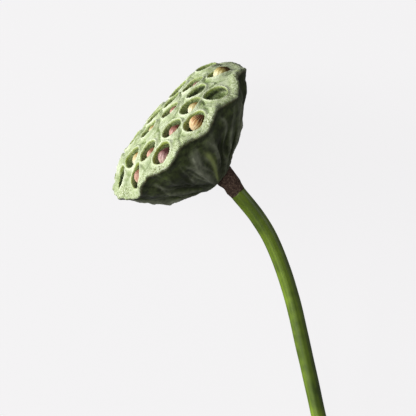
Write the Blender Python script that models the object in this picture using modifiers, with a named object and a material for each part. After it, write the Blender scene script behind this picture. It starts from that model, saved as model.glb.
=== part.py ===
"""A fresh lotus seed pod with its cut stalk, lying on its side.

The pod is modelled about its own axis and then turned onto its rim by the empty "pod_axis":
local +Z leaves the middle of the seed face, local +Y points to the surface that the pod lies
on, and local +X completes the right-handed set. The world's origin is the middle of the flat
spot under the rim, the world's +X is the level part of the pod's axis, and +Z is up.
"""
import math
import random
from dataclasses import dataclass

import bmesh
import bpy
import numpy as np
from mathutils import Matrix, Vector

MM = 0.001
GAP = 0.3 * MM
WELD = 0.01 * MM

# Seed head, measured from the plane of its rim
RIM_RADIUS = 48.0 * MM
FACE_RISE = 15.2 * MM
FACE_POWER = 3.0
HEAD_DEPTH = 32.0 * MM
BASE_RADIUS = 9.4 * MM
FACE_TILT = math.radians(12.0)
REST_CUT = 1.2 * MM
HEAD_STEPS = 72

# Lobes, wave and ribs that run round the head
LOBE_HEIGHT = 0.9 * MM
SWELL_HEIGHT = 1.2 * MM
SWELL_SIDE = math.radians(180.0)
RIM_WAVES = ((1, 1.3 * MM, math.radians(180.0)),
             (5, 1.3 * MM, math.radians(-118.0)),
             (6, 1.3 * MM, math.radians(176.0)),
             (10, 1.0 * MM, math.radians(-30.0)),
             (11, 1.5 * MM, math.radians(87.0)))
RIM_WAVE_POWER = 5
RIM_WAVE_REACH = 9.0 * MM
# Where the face stands higher: middle x and y, height and spread of each shoulder
SHOULDERS = ((36.0 * MM, 16.0 * MM, 4.5 * MM, 10.0 * MM),
             (-34.0 * MM, 15.0 * MM, 1.0 * MM, 8.0 * MM))
RIB_COUNT = 18
RIB_HEIGHT = 0.75 * MM
RIB_WANDER = math.radians(7.0)
LEAN = 6.0 * MM
LEAN_POWER = 1.1

# Chambers and the low lips round their mouths
CHAMBER_DEPTH_RATIO = 1.62
CHAMBER_LEAN = 0.6
CHAMBER_SIDES = 12
CHAMBER_FLATNESS = 0.88
CHAMBER_WALL = 1.0 * MM
CHAMBER_LIMIT = 40.2 * MM
CUTTER_HEADROOM = 8.0 * MM
LIP_WIDTH = 1.3 * MM
LIP_HEIGHT = 0.6 * MM
LIP_ROOT = 2.2 * MM

# Seeds, each scaled to its chamber from the size that fits the widest ones
SEED_RADIUS = 4.35 * MM
SEED_LENGTH = 11.4 * MM
SEED_TIP = 0.9 * MM
SEED_MIDDLE = (0.3 * MM, -0.6 * MM, -4.3 * MM)
SEED_UPHILL_RISE = 1.4 * MM
SEED_NOD = math.radians(20.0)
SEED_TILT = math.radians(4.0)
SEED_SIZES = (0.92, 1.02)
RANDOM_SEED = 21

# Collar and stalk
COLLAR_SIDESTEP = -2.1 * MM
COLLAR_TOP_RADIUS = 5.8 * MM
COLLAR_NECK_RADIUS = 4.35 * MM
COLLAR_LENGTH = 12.0 * MM
COLLAR_LUMP = 0.25 * MM
STALK_TOP_RADIUS = 4.25 * MM
STALK_END_RADIUS = 3.9 * MM
STALK_FLAT = 0.3 * MM
STALK_STRAIGHT_START = 4.0 * MM
# The stalk's route seen from above, in millimetres from the middle of the rim
STALK_ROUTE = ((-43.0, 3.5), (-60.2, 6.1), (-77.4, 11.6), (-101.2, 24.1), (-128.4, 42.1),
               (-156.4, 61.2), (-181.0, 78.2), (-205.5, 95.2))


@dataclass(frozen=True)
class Whorl:
    """One ring of chambers: evenly spaced, then squeezed towards one side."""

    count: int
    radius: float
    phase: float
    centre: tuple[float, float]
    squeeze: float
    squeeze_side: float
    chamber_radius: float
    empty: tuple[int, ...] = ()


WHORLS = (
    Whorl(12, 37.7 * MM, math.radians(73), (-1.8 * MM, -2.9 * MM),
          math.radians(8), math.radians(297), 6.5 * MM, empty=(4, 8)),
    Whorl(9, 25.6 * MM, math.radians(-62), (-3.8 * MM, -9.4 * MM),
          math.radians(-13), math.radians(-23), 6.2 * MM, empty=(1,)),
    Whorl(4, 10.4 * MM, math.radians(21), (-1.3 * MM, -4.8 * MM),
          math.radians(7), math.radians(248), 5.7 * MM),
)


@dataclass
class Chamber:
    """A seed chamber: the middle of its mouth, its axis and whether it holds a seed."""

    mouth: Vector
    axis: Vector
    radius: float
    outer: bool
    holds_seed: bool

    def matrix(self) -> Matrix:
        """Local axes with +Z out of the mouth, at the middle of the slightly oval mouth."""
        turn = Vector((0.0, 0.0, 1.0)).rotation_difference(self.axis).to_matrix().to_4x4()
        flatten = Matrix.Diagonal((1.0, CHAMBER_FLATNESS, 1.0, 1.0))
        return Matrix.Translation(self.mouth) @ turn @ flatten


def clear_scene() -> None:
    """Remove whatever the scene holds."""
    for thing in list(bpy.data.objects):
        bpy.data.objects.remove(thing, do_unlink=True)


def collection_named(name: str) -> bpy.types.Collection:
    """Make a collection under the scene."""
    group = bpy.data.collections.new(name)
    bpy.context.scene.collection.children.link(group)
    return group


def material(name: str, colour: tuple[float, float, float], roughness: float) -> bpy.types.Material:
    """A Principled material of one colour, with no metal in it."""
    made = bpy.data.materials.new(name)
    made.use_nodes = True
    shader = made.node_tree.nodes["Principled BSDF"]
    shader.inputs["Base Color"].default_value = (*colour, 1.0)
    shader.inputs["Roughness"].default_value = roughness
    shader.inputs["Metallic"].default_value = 0.0
    return made


def object_from_mesh(name, mesh, group, parent=None) -> bpy.types.Object:
    """Put a mesh in the scene as an object of a collection, under a parent."""
    thing = bpy.data.objects.new(name, mesh)
    group.objects.link(thing)
    thing.parent = parent
    return thing


def as_cutter(thing: bpy.types.Object) -> bpy.types.Object:
    """Mark an object as one that only shapes others."""
    thing.hide_render = True
    thing.display_type = "WIRE"
    return thing


def smooth_path(points, spans: int) -> np.ndarray:
    """Points on a Catmull-Rom curve through the given ones, spans of them to a stretch."""
    knots = np.array(points, dtype=float)
    knots = np.vstack((2 * knots[0] - knots[1], knots, 2 * knots[-1] - knots[-2]))
    path = [knots[1]]
    for before, start, end, after in zip(knots, knots[1:], knots[2:], knots[3:]):
        for t in np.arange(1, spans + 1) / spans:
            path.append(0.5 * (2 * start + (end - before) * t
                               + (2 * before - 5 * start + 4 * end - after) * t ** 2
                               + (3 * start - before - 3 * end + after) * t ** 3))
    return np.array(path)


def turned(name, profile, steps, group) -> bpy.types.Mesh:
    """Turn a profile of (radius, height) points, listed top to bottom, about the Z axis."""
    outline = bpy.data.meshes.new(name)
    corners = [(radius, 0.0, height) for radius, height in profile]
    outline.from_pydata(corners, [(i, i + 1) for i in range(len(corners) - 1)], [])
    thing = object_from_mesh(name, outline, group)
    screw = thing.modifiers.new("turn", "SCREW")
    screw.steps = steps
    screw.render_steps = steps
    screw.use_merge_vertices = True
    screw.merge_threshold = WELD
    bpy.context.view_layer.update()
    mesh = bpy.data.meshes.new_from_object(thing.evaluated_get(bpy.context.evaluated_depsgraph_get()))
    bpy.data.objects.remove(thing)
    return mesh


def tube_mesh(name, centres, radii, group) -> bpy.types.Mesh:
    """A closed tube along centres, with a radius of its own at each."""
    curve = bpy.data.curves.new(name, "CURVE")
    curve.dimensions = "3D"
    curve.bevel_depth = 1.0
    curve.bevel_resolution = 4
    curve.use_fill_caps = True
    spline = curve.splines.new("POLY")
    spline.points.add(len(centres) - 1)
    for point, centre, radius in zip(spline.points, centres, radii):
        point.co = (*centre, 1.0)
        point.radius = radius
    thing = object_from_mesh(name, curve, group)
    bpy.context.view_layer.update()
    mesh = bpy.data.meshes.new_from_object(thing.evaluated_get(bpy.context.evaluated_depsgraph_get()))
    bpy.data.objects.remove(thing)
    body = bmesh.new()
    body.from_mesh(mesh)
    bmesh.ops.remove_doubles(body, verts=body.verts, dist=WELD)
    bmesh.ops.recalc_face_normals(body, faces=body.faces)
    body.to_mesh(mesh)
    body.free()
    return mesh


def rim_share(radius, depth):
    """How far a point of the head follows the rim's lobes and wave, from 0 to 1."""
    return (radius / RIM_RADIUS) ** RIM_WAVE_POWER * np.exp(-np.maximum(depth, 0.0) / RIM_WAVE_REACH)


def rim_wave(angle):
    """Height of the rim's out-of-plane wave at an angle round the head."""
    return sum(height * np.sin(count * angle + phase) for count, height, phase in RIM_WAVES)


def rim_lobes(angle):
    """Outward swelling of the rim: a lobe beside each outer chamber, and a swell to one side."""
    outer = WHORLS[0]
    lobes = LOBE_HEIGHT * np.cos(outer.count * (angle - outer.phase))
    return lobes + SWELL_HEIGHT * np.cos(angle - SWELL_SIDE)


def shoulder_rise(x, y):
    """How much higher than the plain dome the face stands at a point."""
    return sum(height * np.exp(-((x - middle_x) ** 2 + (y - middle_y) ** 2) / (2 * spread ** 2))
               for middle_x, middle_y, height, spread in SHOULDERS)


def head_lean(depth):
    """Sideways lean of the head at a depth behind its rim."""
    return -LEAN * (depth / HEAD_DEPTH) ** LEAN_POWER


def face_height(x, y):
    """Height of the domed seed face over the plane of the rim."""
    radius = np.hypot(x, y)
    dome = FACE_RISE * (1 - (radius / RIM_RADIUS) ** FACE_POWER)
    return dome + shoulder_rise(x, y) + rim_wave(np.arctan2(y, x)) * rim_share(radius, 0.0)


def head_profile() -> list[tuple[float, float]]:
    """The head's outline from the top of its dome, over the rim and down its side."""
    dome = [(radius, FACE_RISE * (1 - (radius / RIM_RADIUS) ** FACE_POWER))
            for radius in np.array((0.0, 12.0, 22.0, 30.0, 36.0, 41.0, 45.0)) * MM]
    rim = np.array(((47.3, 1.0), (48.0, -0.4), (47.5, -2.0), (45.6, -3.4))) * MM
    side_points = ((43.4, -5.4), (39.5, -9.8), (27.8, -19.6), (16.4, -27.0), (9.9, -31.4))
    side = smooth_path(np.array(side_points) * MM, 2)
    base = [(BASE_RADIUS, -HEAD_DEPTH), (0.0, -HEAD_DEPTH)]
    return dome + [tuple(point) for point in rim] + [tuple(point) for point in side] + base


def shape_head(mesh: bpy.types.Mesh) -> None:
    """Press the lobes, the wave, the ribs and the lean into the turned head."""
    flat = np.empty(len(mesh.vertices) * 3)
    mesh.vertices.foreach_get("co", flat)
    x, y, z = flat.reshape(-1, 3).T
    radius, angle, depth = np.hypot(x, y), np.arctan2(y, x), np.maximum(-z, 0.0)
    share, fade = rim_share(radius, depth), np.exp(-depth / RIM_WAVE_REACH)
    on_side = np.sin(np.pi * np.clip(depth / HEAD_DEPTH, 0.0, 1.0)) ** 0.7
    wander = RIB_WANDER * np.sin(3 * angle + 4 * depth / HEAD_DEPTH)
    ribs = RIB_HEIGHT * on_side * np.cos(RIB_COUNT * angle + 2 * wander)
    new_radius = radius + rim_lobes(angle) * share + ribs
    moved = np.stack((new_radius * np.cos(angle) + head_lean(depth),
                      new_radius * np.sin(angle),
                      z + rim_wave(angle) * share + shoulder_rise(x, y) * fade), axis=1)
    mesh.vertices.foreach_set("co", moved.ravel())
    mesh.update()


def whorl_points(whorl: Whorl) -> list[np.ndarray]:
    """Where a whorl puts the middles of its chambers on the face."""
    points = []
    for turn in range(whorl.count):
        angle = whorl.phase + turn * math.tau / whorl.count
        angle += whorl.squeeze * math.sin(angle - whorl.squeeze_side)
        spoke = np.array((math.cos(angle), math.sin(angle)))
        points.append(np.array(whorl.centre) + whorl.radius * spoke)
    return points


def press_apart(points: np.ndarray, radii: np.ndarray) -> np.ndarray:
    """Let chambers push their neighbours away until a wall fits between them."""
    needed = radii[:, None] + radii[None, :] + CHAMBER_WALL
    np.fill_diagonal(needed, 0.0)
    for _ in range(40):
        apart = points[:, None] - points[None, :]
        distance = np.maximum(np.hypot(apart[..., 0], apart[..., 1] / CHAMBER_FLATNESS), WELD)
        push = np.maximum(0.0, needed - distance) * 0.25 / distance
        points = points + (push[..., None] * apart).sum(axis=1)
        reach = np.linalg.norm(points, axis=1)
        points = points * np.minimum(1.0, CHAMBER_LIMIT / reach)[:, None]
    return points


def lay_out_chambers() -> list[Chamber]:
    """All the chambers of the face, whorl by whorl."""
    owners = [(whorl, index) for whorl in WHORLS for index in range(whorl.count)]
    middles = np.array([point for whorl in WHORLS for point in whorl_points(whorl)])
    radii = np.array([whorl.chamber_radius for whorl, _ in owners])
    chambers = []
    for (whorl, index), (x, y) in zip(owners, press_apart(middles, radii)):
        radius = math.hypot(x, y)
        slope = FACE_POWER * FACE_RISE / RIM_RADIUS * (radius / RIM_RADIUS) ** (FACE_POWER - 1)
        lean = CHAMBER_LEAN * slope / radius
        chambers.append(Chamber(
            mouth=Vector((x, y, float(face_height(x, y)))),
            axis=Vector((x * lean, y * lean, 1.0)).normalized(),
            radius=whorl.chamber_radius,
            outer=whorl is WHORLS[0],
            holds_seed=index not in whorl.empty))
    return chambers


def chamber_profile(radius: float) -> list[tuple[float, float]]:
    """Outline of a chamber's cutter, from above its mouth down to its rounded floor."""
    floor = -CHAMBER_DEPTH_RATIO * radius
    shares = ((0.99, 0.4), (0.9, 0.74), (0.62, 0.94))
    wall = [(radius * width, floor * depth) for width, depth in shares]
    return [(0.0, CUTTER_HEADROOM), (radius, CUTTER_HEADROOM)] + wall + [(0.0, floor)]


def lip_profile(radius: float) -> list[tuple[float, float]]:
    """Outline of the low lip round a mouth, as a plug that the chamber is then cut through."""
    return [(0.0, LIP_HEIGHT), (radius + 0.4 * LIP_WIDTH, LIP_HEIGHT),
            (radius + LIP_WIDTH, -0.4 * LIP_HEIGHT), (radius + LIP_WIDTH, -LIP_ROOT), (0.0, -LIP_ROOT)]


def place_turned(name, profile, chambers, group, pod_axis) -> None:
    """Put a turned cutter at each chamber, with one mesh for each chamber size."""
    meshes = {}
    for number, chamber in enumerate(chambers, start=1):
        if chamber.radius not in meshes:
            meshes[chamber.radius] = turned(name, profile(chamber.radius), CHAMBER_SIDES, group)
        cutter = object_from_mesh(f"{name}_{number:02d}", meshes[chamber.radius], group, pod_axis)
        cutter.matrix_local = chamber.matrix()
        as_cutter(cutter)


def add_boolean(thing, operation, group=None, cutter=None) -> None:
    """Join or cut a thing with a whole collection or with one object."""
    boolean = thing.modifiers.new(operation.lower(), "BOOLEAN")
    boolean.operation = operation
    boolean.solver = "EXACT"
    if group is not None:
        boolean.operand_type = "COLLECTION"
        boolean.collection = group
    else:
        boolean.object = cutter


def floor_block(group) -> bpy.types.Object:
    """A block whose top is the surface that the pod lies on."""
    size = 600 * MM
    bpy.ops.mesh.primitive_cube_add(size=size, location=(-100 * MM, 0, -size / 2))
    block = bpy.context.object
    block.name = "surface_cutter"
    for owner in list(block.users_collection):
        owner.objects.unlink(block)
    group.objects.link(block)
    return as_cutter(block)


def make_receptacle(chambers, group, cutters, pod_axis, block) -> bpy.types.Object:
    """The seed head: lobed rim, ribbed side, and a domed face cut by its chambers."""
    lips = collection_named("lips")
    holes = collection_named("holes")
    place_turned("lip", lip_profile, chambers, lips, pod_axis)
    place_turned("hole", chamber_profile, chambers, holes, pod_axis)
    mesh = turned("receptacle", head_profile(), HEAD_STEPS, cutters)
    shape_head(mesh)
    mesh.shade_smooth()
    head = object_from_mesh("receptacle", mesh, group, pod_axis)
    add_boolean(head, "UNION", group=lips)
    add_boolean(head, "DIFFERENCE", group=holes)
    add_boolean(head, "DIFFERENCE", cutter=block)
    head.data.materials.append(material("pale_green_pod", (0.42, 0.50, 0.29), 0.62))
    return head


def seed_mesh() -> bpy.types.Mesh:
    """A seed about its own middle, blunt below and with a short point on top."""
    body = bmesh.new()
    bmesh.ops.create_uvsphere(body, u_segments=9, v_segments=7, radius=1.0)
    for vertex in body.verts:
        height = vertex.co.z
        fullness = 1.0 - 0.1 * height
        vertex.co.x *= SEED_RADIUS * fullness
        vertex.co.y *= SEED_RADIUS * fullness
        vertex.co.z = 0.5 * SEED_LENGTH * height
    top = max(body.verts, key=lambda vertex: vertex.co.z)
    top.co.z += SEED_TIP
    mesh = bpy.data.meshes.new("seed")
    body.to_mesh(mesh)
    body.free()
    mesh.shade_smooth()
    return mesh


def make_seeds(chambers, group, pod_axis) -> list[bpy.types.Object]:
    """A seed in each full chamber, sized to it and nodding to one side.

    Those by the upper side of the rim stand further out of their mouths.
    """
    draw = random.Random(RANDOM_SEED)
    mesh = seed_mesh()
    mesh.materials.append(material("pink_brown_seed", (0.52, 0.33, 0.22), 0.42))
    seeds = []
    for chamber in chambers:
        chamber_size = chamber.radius / WHORLS[0].chamber_radius
        size = draw.uniform(*SEED_SIZES) * chamber_size
        tilt = Matrix.Rotation(draw.uniform(-SEED_TILT, SEED_TILT), 4, "X")
        spin = Matrix.Rotation(draw.uniform(0.0, math.tau), 4, "Z")
        if not chamber.holds_seed:
            continue
        seed = object_from_mesh(f"seed_{len(seeds) + 1:02d}", mesh, group, pod_axis)
        uphill = max(0.0, -chamber.mouth.y / CHAMBER_LIMIT) if chamber.outer else 0.0
        middle = chamber_size * Vector(SEED_MIDDLE) + Vector((0.0, 0.0, SEED_UPHILL_RISE * uphill))
        nod = Matrix.Rotation(SEED_NOD, 4, "Y")
        turn = tilt @ nod @ spin @ Matrix.Scale(size, 4)
        seed.matrix_local = chamber.matrix() @ Matrix.Translation(middle) @ turn
        seeds.append(seed)
    return seeds


class StalkRoute:
    """The centreline from the middle of the head's base to the cut end of the stalk."""

    def __init__(self, base: Vector, rim_centre: Vector):
        plan = [(base.x, base.y), (base.x - STALK_STRAIGHT_START, base.y)]
        plan += [(rim_centre.x + x * MM, rim_centre.y + y * MM) for x, y in STALK_ROUTE]
        self.plan = smooth_path(plan, 10)
        steps = np.linalg.norm(np.diff(self.plan, axis=0), axis=1)
        self.walked = np.concatenate(((0.0,), np.cumsum(steps)))
        self.length = float(self.walked[-1])
        self.start_height = base.z
        fall = math.tan(FACE_TILT) * self.length
        end_height = STALK_END_RADIUS * math.cos(FACE_TILT) - STALK_FLAT
        self.easing = (end_height - base.z + fall) / self.length ** 2

    def point(self, distance: float) -> Vector:
        """The centreline's point at a level distance from the base."""
        x = float(np.interp(distance, self.walked, self.plan[:, 0]))
        y = float(np.interp(distance, self.walked, self.plan[:, 1]))
        drop = math.tan(FACE_TILT) * distance - self.easing * distance ** 2
        return Vector((x, y, self.start_height - drop))


def make_collar(route, group) -> bpy.types.Object:
    """The short rough neck between the head and the stalk."""
    distances = np.linspace(GAP, COLLAR_LENGTH, 9)
    share = (distances - distances[0]) / COLLAR_LENGTH
    radii = COLLAR_TOP_RADIUS - (COLLAR_TOP_RADIUS - COLLAR_NECK_RADIUS) * share ** 0.8
    radii = radii + 0.5 * COLLAR_LUMP * np.sin(3.2 * math.pi * share)
    mesh = tube_mesh("collar", [route.point(d) for d in distances], radii, group)
    for vertex in mesh.vertices:
        along = int(np.argmin([(vertex.co - route.point(d)).length for d in distances]))
        if 0 < along < len(distances) - 1:
            centre = route.point(distances[along])
            turn = math.atan2(vertex.co.z - centre.z, vertex.co.y - centre.y)
            lump = COLLAR_LUMP * math.sin(3 * turn + 2.4 * along)
            vertex.co += lump * (vertex.co - centre).normalized()
    mesh.shade_smooth()
    mesh.materials.append(material("brown_collar", (0.16, 0.09, 0.06), 0.85))
    return object_from_mesh("collar", mesh, group)


def make_stalk(route, group, block) -> bpy.types.Object:
    """The smooth green stalk, cut off plainly and flat where its end rests."""
    distances = np.linspace(COLLAR_LENGTH + GAP, route.length, 30)
    share = (distances - distances[0]) / (distances[-1] - distances[0])
    radii = STALK_TOP_RADIUS + (STALK_END_RADIUS - STALK_TOP_RADIUS) * share
    mesh = tube_mesh("stem", [route.point(d) for d in distances], radii, group)
    mesh.shade_smooth()
    mesh.materials.append(material("green_stalk", (0.26, 0.40, 0.10), 0.45))
    stalk = object_from_mesh("stem", mesh, group)
    add_boolean(stalk, "DIFFERENCE", cutter=block)
    return stalk


def make_pod_axis(group) -> bpy.types.Object:
    """The empty at the middle of the rim that lays the head over on its side."""
    sine, cosine = math.sin(FACE_TILT), math.cos(FACE_TILT)
    lowest = RIM_RADIUS + float(rim_lobes(math.pi / 2))
    wave = float(rim_wave(math.pi / 2)) - 1.5 * MM
    centre = Vector((-(lowest * sine + wave * cosine), 0.0, lowest * cosine - wave * sine - REST_CUT))
    axes = Matrix(((0.0, sine, cosine), (-1.0, 0.0, 0.0), (0.0, -cosine, sine))).to_4x4()
    empty = bpy.data.objects.new("pod_axis", None)
    group.objects.link(empty)
    empty.matrix_world = Matrix.Translation(centre) @ axes
    return empty


def main() -> None:
    """Build the pod, its seeds and its stalk."""
    clear_scene()
    pod = collection_named("lotus_seed_pod")
    cutters = collection_named("cutters")
    pod_axis = make_pod_axis(pod)
    bpy.context.view_layer.update()
    block = floor_block(cutters)
    chambers = lay_out_chambers()
    make_receptacle(chambers, pod, cutters, pod_axis, block)
    make_seeds(chambers, pod, pod_axis)
    base = pod_axis.matrix_world @ Vector((COLLAR_SIDESTEP, 0.0, -HEAD_DEPTH))
    route = StalkRoute(base, pod_axis.matrix_world.translation)
    make_collar(route, pod)
    make_stalk(route, pod, block)


main()
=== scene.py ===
"""Looks of a fresh lotus seed pod that lies on its side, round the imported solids.

The pod's own axes are those of the solids: local +Z leaves the middle of the seed face, local
+Y points to the surface that the pod lies on, and the rim's middle is the local origin.
"""
import logging
import math
import random
from dataclasses import dataclass, field
from enum import Enum

import bpy
import numpy as np
from mathutils import Matrix, Vector


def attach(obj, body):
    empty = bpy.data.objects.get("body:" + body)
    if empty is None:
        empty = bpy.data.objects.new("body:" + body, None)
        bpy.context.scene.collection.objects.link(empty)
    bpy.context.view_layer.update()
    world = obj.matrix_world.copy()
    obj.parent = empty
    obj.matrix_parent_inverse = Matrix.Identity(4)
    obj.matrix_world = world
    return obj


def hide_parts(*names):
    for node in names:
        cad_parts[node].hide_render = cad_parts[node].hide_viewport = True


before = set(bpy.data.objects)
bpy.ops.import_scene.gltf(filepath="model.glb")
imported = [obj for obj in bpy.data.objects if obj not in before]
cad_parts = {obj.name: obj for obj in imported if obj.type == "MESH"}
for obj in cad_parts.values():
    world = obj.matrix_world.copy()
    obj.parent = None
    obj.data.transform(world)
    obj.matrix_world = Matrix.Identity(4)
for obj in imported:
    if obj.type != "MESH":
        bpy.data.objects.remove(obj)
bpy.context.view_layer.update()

MM = 0.001
BODY = "root"
Values = np.ndarray | float  # one number, or an array of them
log = logging.getLogger("lotus_pod")


def linear(colour: str) -> tuple[float, float, float, float]:
    """Turn an sRGB hex colour into the linear colour that a shader takes.

    Args:
        colour: Six hex digits after a hash, such as "#b9c7a0".

    Returns:
        Red, green, blue and an alpha of 1.
    """
    shares = [int(colour[i:i + 2], 16) / 255 for i in (1, 3, 5)]
    bent = [s / 12.92 if s <= 0.04045 else ((s + 0.055) / 1.055) ** 2.4 for s in shares]
    return (*bent, 1.0)


def per_mm(size: float) -> float:
    """Give the texture scale at which one feature of a pattern is this many millimetres wide."""
    return 1.0 / (size * MM)


def add_node(tree: bpy.types.NodeTree, kind: str, values: dict | None = None,
             links: dict | None = None, ramp: tuple = (), **settings: object) -> bpy.types.Node:
    """Add a node to a shader.

    Args:
        tree: The node tree that it goes into.
        kind: The node's type name.
        values: Numbers and colours for its inputs, by name or index.
        links: Sockets that feed its inputs, by name or index.
        ramp: Positions and hex colours of a colour ramp's stops.
        **settings: Properties of the node itself.

    Returns:
        The new node.
    """
    node = tree.nodes.new(kind)
    for name, value in settings.items():
        setattr(node, name, value)
    for name, value in (values or {}).items():
        node.inputs[name].default_value = value
    for name, source in (links or {}).items():
        tree.links.new(source, node.inputs[name])
    for index, (position, colour) in enumerate(ramp):
        stops = node.color_ramp.elements
        stop = stops[index] if index < min(2, len(stops)) else stops.new(position)
        stop.position, stop.color = position, linear(colour)
    return node


def new_material(name: str) -> tuple[bpy.types.Material, bpy.types.NodeTree, bpy.types.Node]:
    """Make a material.

    Args:
        name: What the finish is, in plain words.

    Returns:
        The material, its node tree and its Principled shader.
    """
    made = bpy.data.materials.new(name)
    made.use_nodes = True
    return made, made.node_tree, made.node_tree.nodes["Principled BSDF"]


def smoothstep(low: float, high: float, value: np.ndarray) -> np.ndarray:
    """Rise smoothly from 0 at low to 1 at high."""
    share = np.clip((value - low) / (high - low), 0.0, 1.0)
    return share * share * (3 - 2 * share)


def smooth_path(points: np.ndarray | list, spans: int) -> np.ndarray:
    """Read points from a Catmull-Rom curve.

    Args:
        points: The points that the curve goes through.
        spans: How many steps each stretch gets.

    Returns:
        One row for each point of the curve.
    """
    knots = np.array(points, dtype=float)
    knots = np.vstack((2 * knots[0] - knots[1], knots, 2 * knots[-1] - knots[-2]))
    path = [knots[1]]
    for before, start, end, after in zip(knots, knots[1:], knots[2:], knots[3:]):
        for t in np.arange(1, spans + 1) / spans:
            path.append(0.5 * (2 * start + (end - before) * t
                               + (2 * before - 5 * start + 4 * end - after) * t ** 2
                               + (3 * start - before - 3 * end + after) * t ** 3))
    return np.array(path)


def noise_field(places: np.ndarray, seed: int) -> np.ndarray:
    """Read smooth gradient noise.

    Args:
        places: Points, one row each, in units of one feature of the noise.
        seed: Number that picks the pattern.

    Returns:
        A value of about -1 to 1 for each point.
    """
    draw = np.random.default_rng(seed)
    slopes = draw.normal(size=(256, 3))
    slopes /= np.linalg.norm(slopes, axis=1)[:, None]
    order = draw.permutation(256)
    cells = np.floor(places).astype(int)
    inside = places - cells
    fade = inside ** 3 * (6 * inside ** 2 - 15 * inside + 10)
    total = np.zeros(len(places))
    for corner in np.ndindex(2, 2, 2):
        x, y, z = ((cells + corner) & 255).T
        slope = slopes[order[(order[(order[x] + y) & 255] + z) & 255]]
        weight = np.prod(np.where(corner, fade, 1.0 - fade), axis=1)
        total += weight * ((inside - corner) * slope).sum(axis=1)
    return 1.6 * total


def on_circle(angle: np.ndarray) -> np.ndarray:
    """Give points on the unit circle, one row each, for noise that closes on itself."""
    return np.stack((np.cos(angle), np.sin(angle), np.zeros_like(angle)), axis=1)


def select_only(thing: bpy.types.Object) -> None:
    """Deselect all, and make one object selected and active.

    Args:
        thing: The object to select.
    """
    bpy.ops.object.select_all(action="DESELECT")
    thing.select_set(True)
    bpy.context.view_layer.objects.active = thing


def apply_modifier(thing: bpy.types.Object, kind: str, **settings: object) -> None:
    """Add a modifier to a thing and apply it.

    Args:
        thing: The object to change.
        kind: The modifier's type name.
        **settings: The modifier's properties.
    """
    select_only(thing)
    modifier = thing.modifiers.new(kind.lower(), kind)
    for name, value in settings.items():
        setattr(modifier, name, value)
    bpy.ops.object.modifier_apply(modifier=modifier.name)


def vertex_places(mesh: bpy.types.Mesh) -> np.ndarray:
    """Read where a mesh's vertices are.

    Args:
        mesh: The mesh to read.

    Returns:
        Their places, one row each.
    """
    flat = np.empty(len(mesh.vertices) * 3)
    mesh.vertices.foreach_get("co", flat)
    return flat.reshape(-1, 3)


def vertex_normals(mesh: bpy.types.Mesh) -> np.ndarray:
    """Read which way a mesh's vertices face.

    Args:
        mesh: The mesh to read.

    Returns:
        Their normals, one row each.
    """
    flat = np.empty(len(mesh.vertices) * 3)
    mesh.vertex_normals.foreach_get("vector", flat)
    return flat.reshape(-1, 3)


def move_vertices(mesh: bpy.types.Mesh, places: np.ndarray) -> None:
    """Put a mesh's vertices at new places."""
    mesh.vertices.foreach_set("co", np.ascontiguousarray(places, dtype=np.float32).ravel())
    mesh.update()


def store_mask(mesh: bpy.types.Mesh, name: str, values: np.ndarray) -> None:
    """Keep one number for each vertex under a name that a material can read."""
    attribute = mesh.attributes.new(name, "FLOAT", "POINT")
    attribute.data.foreach_set("value", np.asarray(values, dtype=np.float32))


def turned_solid(name: str, profile: np.ndarray, segments: int, rings: int,
                 cuts: int = 0) -> bpy.types.Object:
    """Draw a sphere out into a turned solid.

    Args:
        name: The new object's name.
        profile: Radius and height from the solid's top to its bottom, both on the axis.
        segments: Steps round the axis.
        rings: Steps along the profile.
        cuts: How many times each step is cut again.

    Returns:
        The object, at the origin.
    """
    bpy.ops.object.select_all(action="DESELECT")
    bpy.ops.mesh.primitive_uv_sphere_add(segments=segments, ring_count=rings, radius=1.0)
    thing = bpy.context.object
    thing.name = name
    if cuts:
        bpy.ops.object.mode_set(mode="EDIT")
        bpy.ops.mesh.select_all(action="SELECT")
        bpy.ops.mesh.subdivide(number_cuts=cuts)
        bpy.ops.object.mode_set(mode="OBJECT")
    places = vertex_places(thing.data)
    places /= np.linalg.norm(places, axis=1)[:, None]
    walked = np.concatenate(((0.0,), np.cumsum(np.linalg.norm(np.diff(profile, axis=0), axis=1))))
    along = np.arccos(np.clip(places[:, 2], -1.0, 1.0)) / math.pi * walked[-1]
    angle = np.arctan2(places[:, 1], places[:, 0])
    radius = np.interp(along, walked, profile[:, 0])
    height = np.interp(along, walked, profile[:, 1])
    move_vertices(thing.data, np.stack((radius * np.cos(angle), radius * np.sin(angle), height), axis=1))
    return thing


def cut_at_surface(thing: bpy.types.Object) -> None:
    """Slice off what a thing has below the surface that it lies on, and close it flat.

    Args:
        thing: The piece to cut.
    """
    select_only(thing)
    bpy.ops.object.mode_set(mode="EDIT")
    bpy.ops.mesh.select_all(action="SELECT")
    bpy.ops.mesh.bisect(plane_co=(0, 0, 0), plane_no=(0, 0, 1), use_fill=True, clear_inner=True,
                        threshold=0.001 * MM)
    bpy.ops.object.mode_set(mode="OBJECT")


def finish_piece(thing: bpy.types.Object, finish: bpy.types.Material,
                 nodes: tuple[str, ...]) -> None:
    """Dress a piece and say what it stands for.

    Args:
        thing: The piece, with its place in its mesh.
        finish: Its material.
        nodes: The solids that it replaces.
    """
    thing.data.materials.clear()
    thing.data.materials.append(finish)
    thing.data.shade_smooth()
    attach(thing, BODY)
    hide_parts(*nodes)
    triangles = sum(len(face.vertices) - 2 for face in thing.data.polygons)
    log.info("%s: %d triangles, stands for %s", thing.name, triangles, ", ".join(nodes))


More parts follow.
